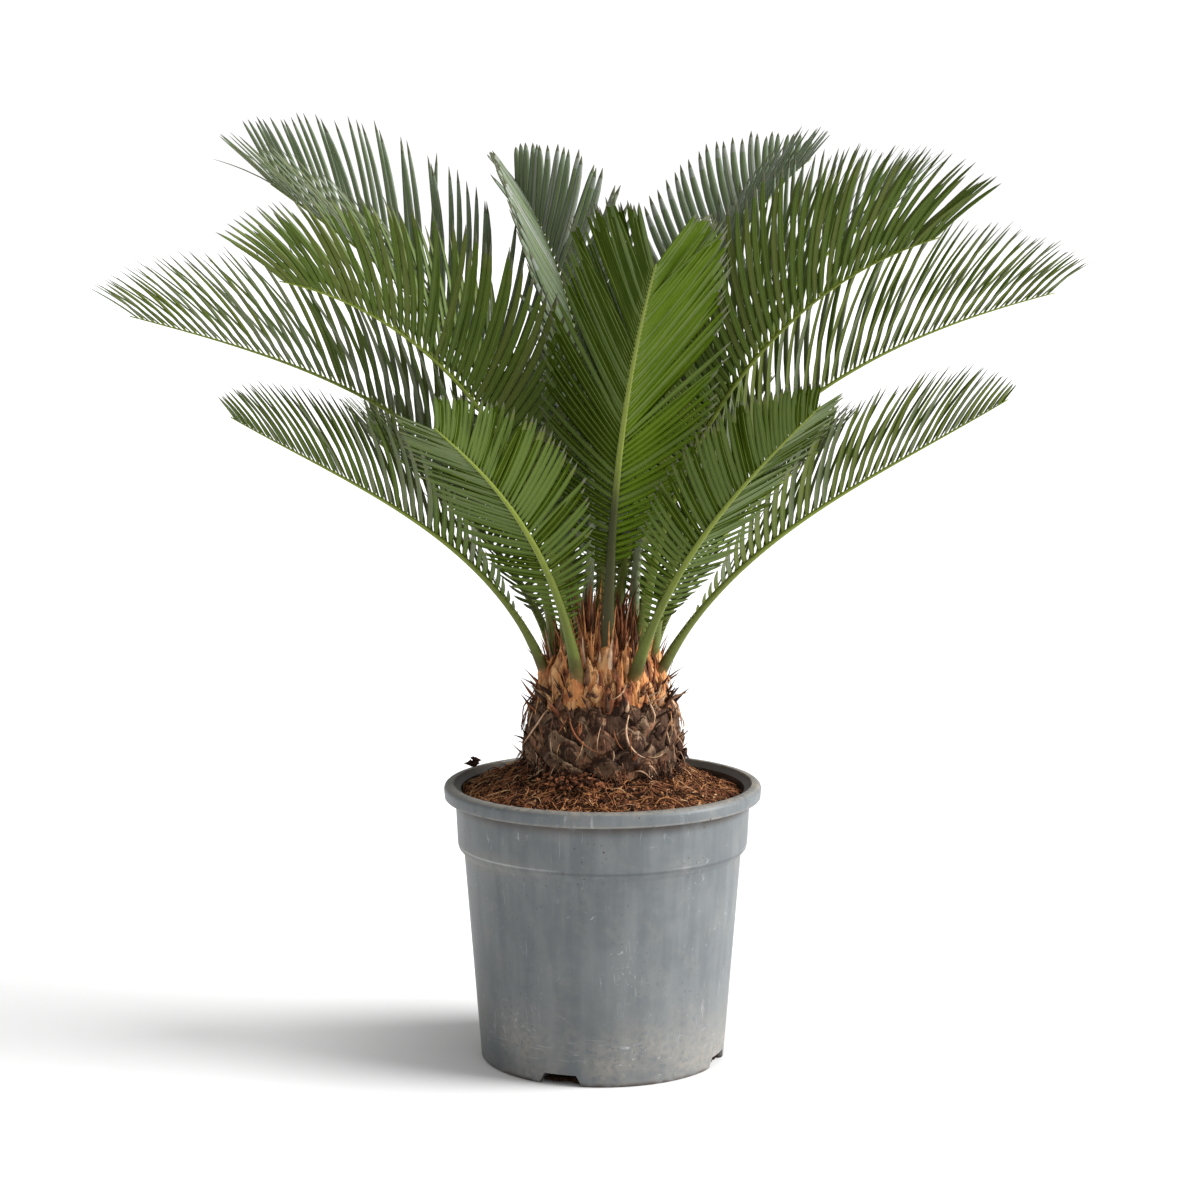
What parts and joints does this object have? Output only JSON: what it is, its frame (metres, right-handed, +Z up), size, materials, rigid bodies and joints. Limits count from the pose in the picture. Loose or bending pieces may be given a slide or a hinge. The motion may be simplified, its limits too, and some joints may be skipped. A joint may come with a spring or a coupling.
{
  "type": "potted sago palm",
  "caption": "Young sago palm with a short scaly trunk and a crown of arching feather-like fronds, growing in a round plastic nursery pot.",
  "frame": {"origin": "centre of the flat underside of the pot, at the mount underside", "axes": "+Z up along the trunk, -Y towards the front of the plant, +X to the right as seen from the front"},
  "size_m": [0.7442, 0.7153, 0.7084],
  "materials": {
    "pot": "scuffed matt grey plastic",
    "soil": "loose fibrous potting soil",
    "trunk": "rough dry leaf bases",
    "frond": "leathery, slightly glossy leaf"
  },
  "bodies": {
    "root": {"pot": "pot", "soil": "soil", "trunk": "trunk", "top_frond_1": "frond", "top_frond_2": "frond", "top_frond_3": "frond", "top_frond_4": "frond", "mid_frond_1": "frond", "mid_frond_2": "frond", "mid_frond_3": "frond", "mid_frond_4": "frond", "mid_frond_5": "frond", "mid_frond_6": "frond", "mid_frond_7": "frond", "mid_frond_8": "frond", "low_frond_1": "frond", "low_frond_2": "frond", "low_frond_3": "frond", "low_frond_4": "frond", "low_frond_5": "frond", "low_frond_6": "frond", "low_frond_7": "frond", "low_frond_8": "frond"}
  },
  "joints": []
}
